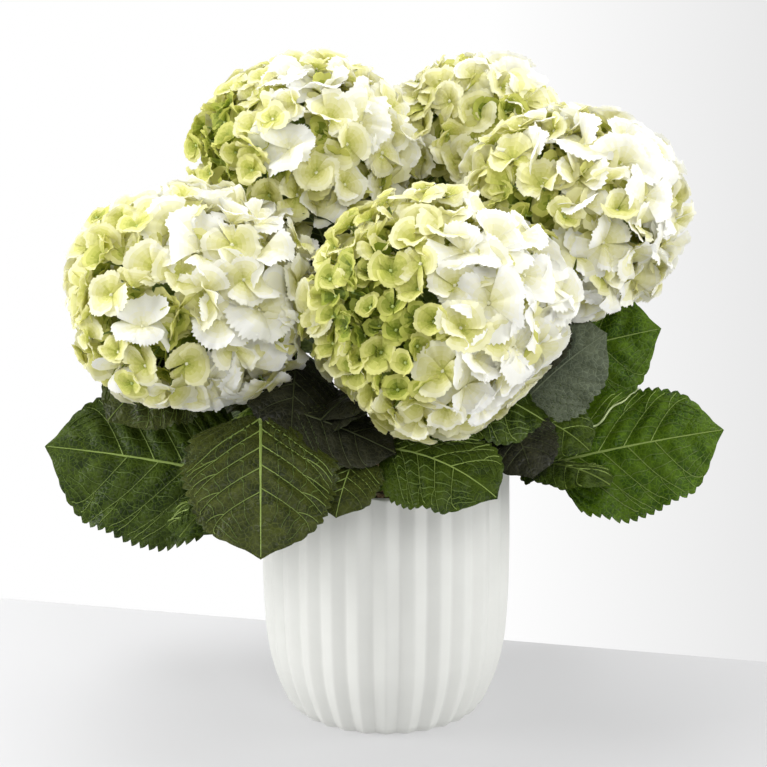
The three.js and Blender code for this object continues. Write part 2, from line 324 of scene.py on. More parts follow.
mixBed = {
    "top": 166.0,
    "radius": 75.6,
    "rings": 46,
    "spokes": 150,
    "skirt": 9.0,
    "waves": (19.0, 11.0, 6.5, 4.0, 2.6),
    "bumps": 1.6,
    "sink": 1.0,             # of the bed under its nominal top
    "chips": 330,
    "chipSize": [(2.5, 6.5), (1.2, 2.6), (0.5, 1.1)],
    "beads": 120,
    "beadSize": (0.8, 1.7),
    "spread": 0.96,          # share of the radius that they lie on
    "stoneRise": 0.4,
    "seed": 5,
    "paints": {"damp_mix": [(0.035, 0.022, 0.014), (0.085, 0.055, 0.034)],
               "bark_chip": [(0.16, 0.095, 0.05), (0.30, 0.20, 0.12)],
               "pale_chip": [(0.38, 0.28, 0.17), (0.52, 0.42, 0.28)],
               "perlite": [(0.62, 0.58, 0.50), (0.75, 0.72, 0.66)]},
    "finish": {"patch": 260.0, "roughness": 0.9, "specular": 0.25, "relief": (900.0, 0.6, 0.0008)},
}


def bedHeight(x, y):
    # waves of a few lengths in seeded directions
    value = np.zeros_like(x)
    rng = np.random.default_rng(mixBed["seed"])
    for size in mixBed["waves"]:
        for _ in range(3):
            a, phase = rng.uniform(0, 2 * math.pi, 2)
            wave = np.sin((x * math.cos(a) + y * math.sin(a)) * 2 * math.pi / size + phase)
            value = value + size / mixBed["waves"][0] * wave
    return mixBed["top"] + value / 3 * mixBed["bumps"] - mixBed["sink"]


def makeMix():
    rng = np.random.default_rng(mixBed["seed"])
    radii = np.linspace(0.4, mixBed["radius"], mixBed["rings"])
    r, a = np.meshgrid(radii, around(mixBed["spokes"]), indexing="ij")
    x, y = r * np.cos(a), r * np.sin(a)
    bed = np.stack([x, y, bedHeight(x, y)], axis=-1)
    skirt = bed[-1] - up * mixBed["skirt"]
    pile = Pile()
    faces = gridFaces(mixBed["rings"] + 1, mixBed["spokes"], True)
    pile.add(np.concatenate([bed.reshape(-1, 3), skirt]), faces)
    for k in range(mixBed["chips"] + mixBed["beads"]):
        reach = mixBed["radius"] * mixBed["spread"] * math.sqrt(rng.uniform(0.06, 1))
        turn = rng.uniform(0, 2 * math.pi)
        place = np.array([reach * math.cos(turn), reach * math.sin(turn), 0.0])
        place[2] = bedHeight(place[0], place[1]) + mixBed["stoneRise"]
        if k < mixBed["chips"]:
            size = np.array([rng.uniform(*limits) for limits in mixBed["chipSize"]])
            addStone(pile, place, size, rng, 1 + int(rng.integers(2)))
        else:
            addStone(pile, place, np.full(3, rng.uniform(*mixBed["beadSize"])), rng, 3)
    paints = [mottled(name, tones, **mixBed["finish"]) for name, tones in mixBed["paints"].items()]
    settle(pile.mesh("mix_bed", paints), "potting_mix", "potting_mix")
    print("potting mix:", mixBed["chips"], "chips and", mixBed["beads"], "beads")


def addStone(pile, place, size, rng, paint):
    # a lumpy little block: a squashed ball with jittered points; the long ones lie nearly flat
    rows, columns = 5, 7
    points = ballGrid(rows, columns, 0.08, 0.08)[2].reshape(-1, 3)
    points = points * (1 + rng.uniform(-0.22, 0.22, (len(points), 1))) * size
    ax = unit(rng.normal(size=3))
    if size[0] > 2:
        ax = unit(np.array([math.cos(ax[0] * 3), math.sin(ax[0] * 3), ax[2] * 0.4]))
    ay = unit(np.cross(up, ax) + 1e-6)
    turn = np.array([ax, ay, np.cross(ax, ay)])
    pile.add(place + points @ turn, gridFaces(rows, columns, True)[:, ::-1], paint)


crown = {
    "foot": 166.3,
    "top": 206.0,
    "radius": 12.6,
    "flare": 8.0,
    "flareHeight": 4.0,
    "lean": (1.5, -1.0),
    "sides": 40,
    "rings": 34,
    "ridge": 0.7,            # bark relief
    "sink": 0.5,             # of the bark's middle under the solid's side
    "bark": {"tones": [(0.12, 0.08, 0.045), (0.34, 0.26, 0.15)], "patch": 150.0,
             "roughness": 0.85, "relief": (700.0, 0.5, 0.0006)},
}

cane = {
    "ring": 7.6,
    "firstAzimuth": -75.0,
    "rise": 25.0,
    "footRadius": 3.8,
    "tipRadius": 3.0,
    "sides": 16,
    "steps": 48,
    "nodeEvery": 34.0,       # rings where old leaves stood
    "nodeSwell": 0.7,
    "nodeWidth": 2.2,
    "wood": {"tones": [(0.17, 0.24, 0.06), (0.33, 0.42, 0.13)], "patch": 330.0,
             "roughness": 0.5, "relief": (500.0, 0.2, 0.0005)},
}


def crownAt(height):
    share = (height - crown["foot"]) / (crown["top"] - crown["foot"])
    centre = np.array([crown["lean"][0] * share, crown["lean"][1] * share, height])
    flare = crown["flare"] * math.exp(-(height - crown["foot"]) / crown["flareHeight"])
    return centre, crown["radius"] + flare


def makeCrown():
    turns = around(crown["sides"])
    rings = []
    for share in np.linspace(0, 1, crown["rings"]):
        z = crown["foot"] + (crown["top"] - crown["foot"]) * share
        centre, radius = crownAt(z)
        relief = (np.sin(turns * 9 + z * 0.22) + 0.6 * np.sin(turns * 17 - z * 0.5)
                  + 0.5 * np.sin(turns * 4 + z * 0.9)) * crown["ridge"] * 0.45
        r = radius - crown["sink"] + relief
        rings.append(centre + np.stack([r * np.cos(turns), r * np.sin(turns), 0 * turns], axis=-1))
    top = rings[-1].mean(axis=0)
    for shrink in (0.9, 0.6, 0.3, 0.02):
        rings.append(top + (rings[crown["rings"] - 1] - top) * shrink + up * (1 - shrink) * 0.2)
    pile = Pile()
    pile.add(np.concatenate(rings), gridFaces(len(rings), crown["sides"], True))
    bark = mottled("crown_bark", **crown["bark"])
    settle(pile.mesh("crown_bark", [bark]), "bark", "crown_stem")
    print("crown: done")


def caneRoute(order, spec):
    azimuth = cane["firstAzimuth"] + order * 360 / len(blooms)
    foot = crownAt(crown["top"])[0] + bearing(azimuth) * cane["ring"]
    foot[2] += 0.3
    bend = foot + up * cane["rise"]
    centre = np.array(spec["centre"], float)
    axis = unit(centre - bend)
    reach = ball["coreShare"] * ballRadius(spec, axis) + ball["neckLength"]
    return foot, bend, centre - axis * reach, axis


def makeCanes(material):
    for order, spec in enumerate(blooms):
        foot, bend, joint, _ = caneRoute(order, spec)
        path = bezier(foot, bend, joint, cane["steps"])
        along = np.concatenate([[0], np.cumsum(np.linalg.norm(np.diff(path, axis=0), axis=1))])
        radii = np.interp(along, [0, along[-1]], [cane["footRadius"], cane["tipRadius"]]) - 0.2
        nearNode = np.abs((along + 12) % cane["nodeEvery"] - cane["nodeEvery"] / 2)
        radii = radii + cane["nodeSwell"] * np.exp(-(nearNode / cane["nodeWidth"]) ** 2)
        pile = Pile()
        tube(pile, path, radii, cane["sides"])
        settle(pile.mesh("cane_wood_" + spec["name"], [material]), "cane", "cane_" + spec["name"])
    print("canes:", len(blooms))


ball = {
    "coreShare": 0.74,       # where the stalks begin to spread, as in the solid
    "neckLength": 14.0,
    "coverTo": 145.0,
    "fineSpacing": 9.0,      # of the places that are tried for a floret
    "crowding": 0.49,        # least way between two florets, as a share of their mean size
    "depth": 0.40,           # of a floret's middle under the ball's outside, as a share of its size
    "limit": 0.97,           # sepals that reach further out than this share are held back
    "beyond": 0.40,
    "swell": 0.022,          # uneven bulges of the whole ball
    "tilt": 0.38,
    "sideways": 0.25,        # share of florets that stand nearly on edge
    "dent": 0.17,            # how far the youngest florets lie back in the ball
    "youngSize": 15.0,
    "oldSize": 41.0,
    "underSpacing": 17.5,
    "underShare": 0.71,      # the crowded layer under the outer one
    "underSize": 25.0,
    # the under layer is made younger, so greener and darker: partly its younger florets, partly painted
    # shade in the hollows of the ball
    "underYoungerAndShaded": 0.30,
    "weaves": [(0, 23, 5, 8), (23, 36, 7, 12), (36, 99, 7, 17)],   # a sepal's mesh by floret size
    "underWeave": (4, 6),
    "limbSpacing": 70.0,
    "shades": 18,
    "petal": {"roughness": 0.62, "specular": 0.3, "relief": (520.0, 0.16, 0.0007, 3.0)},
    "glow": 0.32,
    "stalks": {"flower_stalk": [(0.16, 0.24, 0.05), (0.30, 0.40, 0.11)],
               "young_bead": [(0.36, 0.46, 0.13), (0.52, 0.60, 0.22)],
               "old_bead": [(0.66, 0.66, 0.42), (0.80, 0.79, 0.60)]},
}

# how a sepal varies; of two ranges the first is for the youngest and the second for the oldest
sepal = {
    "length": (0.88, 1.24),  # against half the floret's size
    "breadth": (0.92, 1.14),
    "fan": (40, 58),         # half its spread in degrees
    "oldFan": 8,
    "rimFall": (0.10, 0.34),     # towards its sides
    "rimPower": (2.2, 4.4),
    "notch": 0.07,
    "jag": (0.03, 0.07),     # length of the teeth when young, and how much is added with age
    "foot": [(0.45, 1.45), (0.15, 1.25)],   # how steeply it leaves the middle
    "bend": [(0.25, 1.30), (0.20, 2.0)],    # and how far it bends outwards
    "cup": [(0.15, 0.60), (-0.40, 0.50)],   # how its sides rise
    "groove": 0.05,
    "paler": 0.03,
    "drop": (0.12, 0.40),    # how much greener and darker its foot is when young, and what age adds: partly its own green foot, partly painted shade in the floret's middle
    "showyDrop": 0.34,
    "veinDrop": 0.07,
    "rimLift": 0.06,
}

# young points at the greenest florets, and youngWidth is how far round they reach; age is how
# white the rest is, and a second way points to where it is whiter still, partly from older florets
# and partly as painted light on the brighter side; flats are flatter places, each with its
# direction, depth and width; showy florets are broad white ones, with direction and size
blooms = [
    {"name": "front", "centre": (32, -92, 295), "width": 90, "height": 82, "seed": 21,
     "young": (-0.46, -0.88, 0.12), "youngWidth": 0.15, "age": 0.72,
     "fairAndLit": (0.22, -0.04, 0.0),
     "flats": [((0.72, -0.35, -0.60), 0.24, 0.10), ((-0.75, -0.3, -0.60), 0.14, 0.08)],
     "showy": [((0.40, -0.86, 0.32), 46), ((0.80, -0.58, 0.16), 50), ((0.62, -0.62, -0.45), 50),
               ((0.26, -0.95, -0.10), 42), ((0.70, -0.52, 0.48), 44), ((0.22, -0.66, 0.72), 42),
               ((0.92, -0.38, -0.22), 46), ((0.36, -0.72, -0.62), 38), ((0.62, -0.78, -0.08), 44)]},
    {"name": "right", "centre": (120, 0, 339), "width": 80, "height": 73, "seed": 22,
     "young": (-0.58, -0.75, 0.05), "youngWidth": 0.10, "age": 0.77,
     "fairAndLit": (0.14, -0.04, 0.04), "flats": [((-0.65, -0.4, -0.65), 0.12, 0.10)],
     "showy": [((0.5, -0.55, 0.66), 50), ((0.85, -0.45, 0.25), 46), ((0.10, -0.5, 0.86), 46),
               ((-0.38, -0.55, 0.74), 40), ((0.35, -0.75, -0.55), 42), ((0.78, -0.58, -0.25), 44),
               ((-0.05, -0.80, -0.60), 38)]},
    {"name": "back_right", "centre": (61, 103, 366), "width": 67, "height": 65, "seed": 23,
     "young": (0.25, -0.8, 0.35), "youngWidth": 0.06, "age": 0.71,
     "fairAndLit": (0.04, 0.0, 0.05), "flats": [],
     "showy": [((0.5, -0.2, 0.84), 38)]},
    {"name": "back_left", "centre": (-55, 50, 371), "width": 81, "height": 67, "seed": 24,
     "young": (-0.80, -0.45, 0.35), "youngWidth": 0.11, "age": 0.69,
     "fairAndLit": (0.12, 0.0, 0.05), "flats": [((-0.65, -0.2, 0.75), 0.13, 0.12)],
     "showy": [((0.28, -0.55, 0.78), 50), ((0.62, -0.66, 0.42), 44), ((-0.14, -0.4, 0.9), 42),
               ((-0.1, -0.95, 0.2), 40)]},
    {"name": "left", "centre": (-124, -36, 292), "width": 91, "height": 75, "seed": 25,
     "young": (-0.10, -0.92, -0.12), "youngWidth": 0.03, "age": 0.79,
     "fairAndLit": (0.18, 0.0, 0.04),
     "flats": [((-0.96, -0.2, -0.1), 0.11, 0.10), ((0.0, -0.40, -0.92), 0.10, 0.07)],
     "showy": [((0.60, -0.78, 0.08), 50), ((0.62, -0.56, 0.52), 46), ((0.10, -0.76, 0.62), 50),
               ((0.50, -0.76, -0.40), 48), ((0.22, -0.80, -0.62), 46), ((0.84, -0.50, -0.20), 42),
               ((-0.35, -0.92, -0.02), 44), ((-0.62, -0.62, -0.5), 42)]},
]

# from the greenest floret to the whitest
shadeStops = [(0.0, (0.11, 0.16, 0.015)), (0.12, (0.25, 0.31, 0.03)), (0.26, (0.46, 0.49, 0.09)),
              (0.42, (0.63, 0.63, 0.18)), (0.60, (0.76, 0.74, 0.36)), (0.78, (0.84, 0.825, 0.58)),
              (0.90, (0.88, 0.87, 0.75)), (1.0, (0.89, 0.89, 0.86))]


def ballRadius(spec, way):
    way = np.asarray(way, float)
    flat = np.hypot(way[..., 0], way[..., 1]) / spec["width"]
    return 1 / np.hypot(flat, way[..., 2] / spec["height"])


def bloomRadius(spec, way):
    # the ball with the flatter places where the bloom is less full
    radius = ballRadius(spec, way)
    for towards, amount, width in spec["flats"]:
        radius = radius * (1 - amount * np.exp(-(1 - way @ unit(towards)) / width))
    return radius


def inBloom(spec, ways, share):
    # the points in these directions, at a share of the way from the middle to the outside
    return np.array(spec["centre"]) + ways * (bloomRadius(spec, ways) * share)[..., None]


def petalShades():
    positions, colours = zip(*shadeStops)
    materials = []
    for k in range(ball["shades"]):
        share = k / (ball["shades"] - 1)
        colour = tuple(float(np.interp(share, positions, channel)) for channel in zip(*colours))
        material = even("petal_%02d" % k, colour, **ball["petal"])
        glowThrough(material, tuple(min(1.0, c * 1.04) for c in colour), ball["glow"])
        materials.append(material)
    return materials


def domeWays(spec, axis, spacing, share):
    cover = 1 - math.cos(math.radians(ball["coverTo"]))
    area = 2 * math.pi * cover * spec["width"] * spec["height"] * share ** 2
    count = round(area / (0.87 * spacing ** 2))
    i = np.arange(count)
    polar = 1 - (i + 0.5) / count * cover
    ring = np.sqrt(1 - polar ** 2)
    ways = np.stack([ring * np.cos(i * golden), ring * np.sin(i * golden), polar], axis=-1)
    side = unit(np.cross(up, axis))
    other = np.cross(axis, side)
    return ways @ np.array([side, other, axis])


def youthAt(spec, ways):
    return np.exp(-(1 - ways @ unit(np.array(spec["young"]))) / spec["youngWidth"])


def ageAt(spec, ways):
    # whiter towards the second way: partly older florets, partly painted light on the brighter side
    return spec["age"] - 0.44 * youthAt(spec, ways) + ways @ np.array(spec["fairAndLit"])


def plantFlorets(spec, axis, rng):
    # place, outward direction, size and age of every floret of the outer layer: showy ones first,
    # then each place of a fine dome that is far enough from the florets already there
    ways = domeWays(spec, axis, ball["fineSpacing"], 1.0)
    ways = unit(ways + rng.normal(0, 0.03, ways.shape))
    youth = youthAt(spec, ways)
    age = np.clip(ageAt(spec, ways) + rng.normal(0, 0.11, len(ways)), 0.16, 0.97)
    grown = age ** 1.2 + rng.normal(0, 0.10, len(ways))
    size = ball["youngSize"] + (ball["oldSize"] - ball["youngSize"]) * grown
    share = 1 + rng.uniform(-0.05, 0.03, len(ways)) - ball["dent"] * youth
    for _ in range(3):
        share = share + ball["swell"] * np.sin(ways @ rng.normal(0, 3.2, 3) + rng.uniform(0, 6))
    order = rng.permutation(len(ways))
    showy = unit(np.array([way for way, _ in spec["showy"]]))
    ways = np.vstack([showy, ways[order]])
    age = np.concatenate([rng.uniform(0.94, 1.0, len(showy)), age[order]])
    size = np.concatenate([[float(s) for _, s in spec["showy"]], size[order]])
    share = np.concatenate([np.full(len(showy), 1.02), share[order]])
    spots = ways * (bloomRadius(spec, ways) * (share - 0.15))[:, None]
    kept = []
    for k in range(len(ways)):
        gaps = np.linalg.norm(spots[kept] - spots[k], axis=1) / (size[kept] + size[k]) * 2
        if len(gaps) == 0 or gaps.min() > ball["crowding"]:
            kept.append(k)
    ways, age, size, share = ways[kept], age[kept], size[kept], share[kept]
    lean = rng.normal(0, ball["tilt"], ways.shape)
    lean[rng.uniform(size=len(ways)) < ball["sideways"]] *= 2.2
    lean[:, 2] += 0.30
    radius = bloomRadius(spec, ways) * share - ball["depth"] * size
    return np.array(spec["centre"]) + ways * radius[:, None], unit(ways + lean), size, age


def plantUnder(spec, axis, rng):
    ways = unit(domeWays(spec, axis, ball["underSpacing"], ball["underShare"]))
    ways = unit(ways + rng.normal(0, 0.08, ways.shape))
    share = ball["underShare"] + rng.uniform(-0.05, 0.05, len(ways)) - 0.10 * youthAt(spec, ways)
    places = inBloom(spec, ways, share)
    # younger, so greener and darker than the outer layer: partly painted shade in the ball's hollows
    age = np.clip(ageAt(spec, ways) - ball["underYoungerAndShaded"] + rng.normal(0, 0.1, len(ways)), 0.02, 0.75)
    size = ball["underSize"] * rng.uniform(0.8, 1.2, len(ways))
    return places, unit(ways + rng.normal(0, 0.3, ways.shape)), size, age


def sepalFaces(rows, columns):
    # quads up to the last ring, which ends in one tooth for each column
    rays = columns + 1
    quads = gridFaces(rows - 1, rays)
    j = np.arange(columns)
    inner, outer = (rows - 2) * rays + j, (rows - 1) * rays + 2 * j
    corners = [(inner, outer + 1, outer), (inner, inner + 1, outer + 1),
               (inner + 1, outer + 2, outer + 1)]
    return quads, np.stack([np.stack(three, 1) for three in corners], 1).reshape(-1, 3)


def heldBack(spec, points):
    # what stands out of the ball is drawn in, so that the ball keeps its outline
    centre = np.array(spec["centre"], float)
    arm = points - centre
    reach = np.linalg.norm(arm, axis=-1, keepdims=True)
    limit = bloomRadius(spec, arm / reach)[..., None] * ball["limit"]
    past = np.maximum(reach - limit, 0)
    return centre + arm / reach * (np.minimum(reach, limit) + ball["beyond"] * past)


def addSepals(pile, spec, rng, places, outward, size, age, rows, columns):
    # four sepals to a floret; each is a broad fan that climbs from the floret's middle as the wall
    # of a cup and bends outwards towards its rim, more so the older it is
    count = len(places)
    side = unit(np.cross(outward, rng.normal(size=(count, 3))))
    other = np.cross(outward, side)
    rings = np.linspace(0.07, 1, rows)
    fine = np.linspace(-1, 1, 2 * columns + 1)
    u = np.concatenate([np.repeat(rings[:-1], columns + 1), np.ones(2 * columns + 1)])[None]
    f = np.concatenate([np.tile(fine[::2], rows - 1), fine])[None]
    inside = np.zeros((rows - 1) * (columns + 1))
    tooth = np.concatenate([inside, np.arange(2 * columns + 1) % 2])[None]
    quads, teeth = sepalFaces(rows, columns)
    inwards = 1 - (quads[:, 0] // (columns + 1) + 0.5) / (rows - 1)
    midline = fine[::2][quads[:, 0] % (columns + 1)]
    years = age[:, None]

    def vary(low, high):
        return rng.uniform(low, high, (count, 1))

    def byAge(young, old):
        return (1 - years) * vary(*young) + years * vary(*old)

    def wave(low, high):
        return np.sin(f * vary(low, high) + vary(0, 6.3))

    for number in range(4):
        length = (size / 2)[:, None] * vary(*sepal["length"])
        rim = 1 - vary(*sepal["rimFall"]) * np.abs(f) ** vary(*sepal["rimPower"])
        rim = rim - sepal["notch"] * vary(0, 1) * np.exp(-((f - vary(-0.5, 0.5)) / 0.16) ** 2)
        longest = sepal["jag"][0] + sepal["jag"][1] * years
        jag = rng.uniform(0.1, 1.0, (count, f.shape[1])) * tooth * longest
        fan = f * np.radians(vary(*sepal["fan"]) + sepal["oldFan"] * years)
        reach = u * (rim + jag)
        x = reach * np.cos(fan)
        y = reach * np.sin(fan) * vary(*sepal["breadth"])
        foot = byAge(*sepal["foot"])
        bend = -byAge(*sepal["bend"]) - 0.01
        climb = foot + bend * x
        out = (np.sin(climb) - np.sin(foot)) / bend
        height = (np.cos(foot) - np.cos(climb)) / bend
        lift = byAge(*sepal["cup"]) * y ** 2
        # broad waves, frills along the rim, pleats and the groove along the middle
        lift = lift + vary(0.04, 0.12) * (0.4 + years) * u ** 2 * wave(2.5, 7.5)
        lift = lift + vary(0.01, 0.06) * u ** 3 * wave(11.0, 18.0)
        lift = lift + vary(0.0, 0.10) * u * np.abs(wave(2.0, 5.0))
        lift = lift - sepal["groove"] * np.exp(-(f / 0.14) ** 2) * np.sin(u * math.pi)
        lift = lift + vary(-0.5, 0.5) * y
        out = out - np.sin(climb) * lift
        height = height + np.cos(climb) * lift + 0.045 * (number % 2)
        turn = number * math.pi / 2 + vary(-0.26, 0.26)
        along = (np.cos(turn) * side + np.sin(turn) * other)[:, None, :]
        across = (np.cos(turn) * other - np.sin(turn) * side)[:, None, :]
        points = places[:, None, :] + (length * out)[..., None] * along
        points = points + (length * y)[..., None] * across
        points = heldBack(spec, points + (length * height)[..., None] * outward[:, None, :])
        tone = age + sepal["paler"] + rng.normal(0, 0.05, count)
        # each sepal is painted greener and darker towards its foot: partly its own colour, partly
        # painted shade in the floret's middle
        drop = np.where(age > 0.9, sepal["showyDrop"], sepal["drop"][0] + sepal["drop"][1] * age)
        for k in range(count):
            body = tone[k] - drop[k] * inwards ** 1.3 + rng.normal(0, 0.022, len(quads))
            body = body - sepal["veinDrop"] * np.exp(-(midline / 0.15) ** 2) * inwards
            pile.add(points[k], quads, shadeNumber(body))
            rimTone = np.full(len(teeth), tone[k] + sepal["rimLift"])
            pile.addFaces(teeth, shadeNumber(rimTone), pile.count - len(points[k]))


def shadeNumber(age):
    return np.clip(np.asarray(age * ball["shades"]).astype(int), 0, ball["shades"] - 1)


def addBeads(pile, rng, places, outward, size, age):
    # the tiny closed flower in each floret's middle
    rows, columns = 5, 8
    _, turns, ways = ballGrid(rows, columns, 0.1, 0.3)
    lobes = 1 + 0.14 * np.cos(4 * turns)
    x = (ways[..., 0] * lobes).ravel()[:, None]
    y = (ways[..., 1] * lobes).ravel()[:, None]
    z = (ways[..., 2] * 0.85 + 0.7).ravel()[:, None]
    faces = gridFaces(rows, columns, True)[:, ::-1]
    for place, way, span, years in zip(places, outward, size, age):
        side = unit(np.cross(way, rng.normal(size=3)))
        other = np.cross(way, side)
        r = 0.9 + 0.012 * span
        points = place + way * 0.4 + r * (x * side + y * other + z * way)
        pile.add(points, faces, 1 + int(years > 0.55))


def bloomCore(pile, spec, rng):
    # a closed sheet that stands in for the crowd of inner stalks and, as painted shade, for the dark
    # among them; it closes the view through the ball
    rows, columns = 30, 44
    p, t, ways = ballGrid(rows, columns, 0.03, 0.03)
    lump = 0.5 + 0.05 * np.sin(p * 13 + rng.uniform(0, 6)) * np.sin(t * 11 + rng.uniform(0, 6))
    pile.add(inBloom(spec, ways, lump), gridFaces(rows, columns, True)[:, ::-1], 0)


def addStalks(pile, spec, joint, axis, places, rng):
    # the cane's tip forks into a few limbs, and a thin stalk runs inwards from each floret
    centre = np.array(spec["centre"], float)
    hub = joint + axis * (ball["neckLength"] * 0.8)
    tube(pile, [joint + axis * 0.3, joint + axis * 4, hub, centre], [3.0, 2.9, 2.8, 2.2], 10, 0)
    for way in domeWays(spec, axis, ball["limbSpacing"], 1.0):
        end = centre + way * ballRadius(spec, way) * 0.5
        middle = hub * 0.45 + end * 0.55 + axis * 2
        tube(pile, bezier(hub, middle, end, 7), np.linspace(2.0, 1.2, 7), 7, 0)
    for place in places:
        inner = centre + (place - centre) * 0.55 + rng.normal(0, 1.5, 3)
        middle = (inner + place) / 2 + rng.normal(0, 0.8, 3)
        tube(pile, [inner, middle, place], [0.75, 0.65, 0.6], 5, 0, False)


def makeBlooms():
    shades = petalShades()
    stalks = [mottled(name, tones, 400.0, 0.55) for name, tones in ball["stalks"].items()]
    for order, spec in enumerate(blooms):
        rng = np.random.default_rng(spec["seed"])
        _, _, joint, axis = caneRoute(order, spec)
        outer = plantFlorets(spec, axis, rng)
        under = plantUnder(spec, axis, rng)
        petals = Pile()
        for low, high, rows, columns in ball["weaves"]:
            fits = (outer[2] >= low) & (outer[2] < high)
            addSepals(petals, spec, rng, *(part[fits] for part in outer), rows=rows, columns=columns)
        addSepals(petals, spec, rng, *under, *ball["underWeave"])
        node = "bloom_" + spec["name"]
        settle(petals.mesh("sepals_" + spec["name"], shades), "blossom", node)
        inside = Pile()
        addBeads(inside, rng, *outer)
        bloomCore(inside, spec, rng)
        addStalks(inside, spec, joint, axis, outer[0], rng)
        settle(inside.mesh("florets_inside_" + spec["name"], stalks), "blossom", node)
        print("bloom", spec["name"] + ":", len(outer[0]), "florets and", len(under[0]), "beneath")


shoot = {
    "footRadius": 2.6,
    "tipRadius": 2.1,
    "footGap": 0.5,
    "lowWhorl": 183.0,
    "highWhorl": 197.0,
    "sides": 12,
}

leaf = {
    "stalkRadius": 1.7,
    "stalkSlope": 0.3,
    "widthShare": 0.88,
    "baseCurve": 0.5,        # powers of the outline towards the base and towards the tip
    "tipCurve": 0.76,
    "fold": -6.0,
    "arch": 0.08,            # how far the halves curve down between midrib and edge
    "intervals": 8,          # of the solid's blade, whose midrib this one follows
    "teethPerLength": 0.165,
    "toothLength": 0.072,
    "rowsPerTooth": 4,
    "columnsPerLength": 0.175,
    "thickness": 0.45,
    "veins": 5,
    "firstVein": 0.01,
    "lastVein": 0.74,
    "veinSweep": 0.40,       # how far forward a side vein has come at the edge
    "veinHook": 0.06,        # and how sharply it turns along the edge
    "veinShift": 0.14,       # between the two halves
    "forkAt": 0.56,          # share of the way to the edge at which a side vein forks
    "forkFall": 0.50,
    "pucker": 3.0,
    "blister": 0.9,
    "ripple": 0.05,
    "baseFull": 0.12,        # fuller towards the base and before the short drawn-out tip
    "tipFull": 0.15,
    "dripTip": 0.52,
    "veinRaised": 0.72,
    "plainBelow": 80.0,      # shorter leaves show no forks and rungs between their veins
    "fullLength": 115.0,     # the widths and reliefs hold for a blade this long
    "midribWidth": (2.5, 0.4),   # at the base and at the tip
    "veinWidth": (0.85, 0.26),
    "forkWidth": (0.36, 0.14),
    "rungWidth": 0.26,
    "lowestRaised": 1.7,     # the lowest side vein lies in the steepest valley
    "underBold": 1.4,        # the veins are bolder underneath
    "crossNet": 300.0,
    "rolledWidth": 0.75,
}


def blade(heading, stalk, slope, length, roll=0.0, sag=40.0, tint=0):
    return dict(heading=heading, stalk=stalk, slope=slope, length=length, roll=roll, sag=sag, tint=tint)


def shootRow(name, azimuth, foot, reach, rise, leaves):
    return dict(name=name, azimuth=azimuth, foot=foot, reach=reach, rise=rise, leaves=leaves)


# azimuths in degrees from +X, counter-clockwise, as in the solids; tint picks one of the greens
# tint 3, nearly black, is painted shade on the leaves that lie under the balls
shoots = [
    shootRow("front_left", 219, "highWhorl", 84, 34, [
        blade(272, 34, -39, 112, -4, tint=0), blade(203, 24, -50, 54, 12, tint=2),
        blade(344, 24, -19, 74, 20, 10, tint=3)]),
    shootRow("left", 214, "lowWhorl", 76, -9, [
        blade(174, 34, 7, 129, -49, 8, tint=1), blade(236, 30, -12, 84, 10, tint=1),
        blade(146, 26, -8, 74, tint=0)]),
    shootRow("front", 259, "lowWhorl", 60, 22, [
        blade(327, 26, -15, 88, 26, tint=1), blade(254, 34, -34, 52, tint=0),
        blade(214, 22, -36, 54, tint=3)]),
    shootRow("front_right", 338, "highWhorl", 66, 18, [
        # the first leaf here is grey (tint 4): partly a paler underside, partly a painted sheen
        blade(340, 32, 42, 74, 66, 14, tint=4), blade(288, 24, -30, 58, 20, tint=3),
        blade(326, 30, -20, 56, 30, tint=1)]),
    shootRow("right", 345, "lowWhorl", 76, -8, [
        dict(blade(357, 38, 12, 113, 43, 6, tint=2), rolledEdge=(0.03, 0.56)),
        blade(318, 26, -2, 66, tint=1), blade(30, 24, -16, 80, tint=0)]),
    shootRow("right_upper", 24, "highWhorl", 58, 26, [
        blade(3, 29, 14, 108, 58, 8, tint=2), blade(52, 26, 8, 84, tint=1),
        blade(90, 24, -8, 56, tint=0)]),
    shootRow("back_right", 50, "lowWhorl", 64, 32, [
        blade(48, 34, -30, 118, tint=1), blade(12, 26, -38, 84, tint=0),
        blade(88, 26, -38, 88, tint=2)]),
    shootRow("back", 98, "highWhorl", 50, 62, [
        blade(96, 36, -36, 122, tint=2), blade(46, 30, -26, 96, tint=1),
        blade(150, 30, -28, 96, tint=0)]),
    shootRow("back_left", 152, "lowWhorl", 64, 28, [
        blade(150, 36, -34, 120, tint=1), blade(108, 26, -44, 84, tint=2),
        blade(182, 26, -22, 84, tint=0)]),
]

# dark and light tone of each green: olive, deep, fresh, nearly black, grey; the nearly black one is
# painted shade, for the leaves that lie under the balls
greens = [((0.018, 0.024, 0.005), (0.042, 0.051, 0.009)),
          ((0.015, 0.028, 0.003), (0.042, 0.066, 0.007)),
          ((0.027, 0.060, 0.003), (0.062, 0.113, 0.006)),
          ((0.013, 0.014, 0.009), (0.027, 0.028, 0.016)),
          # the grey: partly a paler underside, partly a painted sheen
          ((0.094, 0.113, 0.075), (0.134, 0.157, 0.106))]
# and which of the vein paints goes with it
veinTints = [0, 0, 0, 3, 4]

# colour and roughness of the underside and, after it, of the vein paints
plainPaints = {"leaf_underside": ((0.060, 0.085, 0.030), 0.65), "vein_pale": ((0.23, 0.31, 0.075), 0.5),
               "vein_fine": ((0.10, 0.15, 0.03), 0.5), "vein_under": ((0.22, 0.28, 0.12), 0.6),
               # the fifth vein paint is grey, for the grey leaf: partly a painted sheen
               # the fourth vein paint is dark, for the nearly black leaves: painted shade
               "vein_painted_shade": ((0.055, 0.065, 0.025), 0.5), "vein_grey_sheen": ((0.19, 0.22, 0.14), 0.5),
               "rolled_edge": ((0.46, 0.54, 0.27), 0.5)}


def bladeOutline(share):
    base, tip = leaf["baseCurve"], leaf["tipCurve"]
    broadest = base / (base + tip)
    share = np.clip(share, 0, 1)
    return share ** base * (1 - share) ** tip / (broadest ** base * (1 - broadest) ** tip)


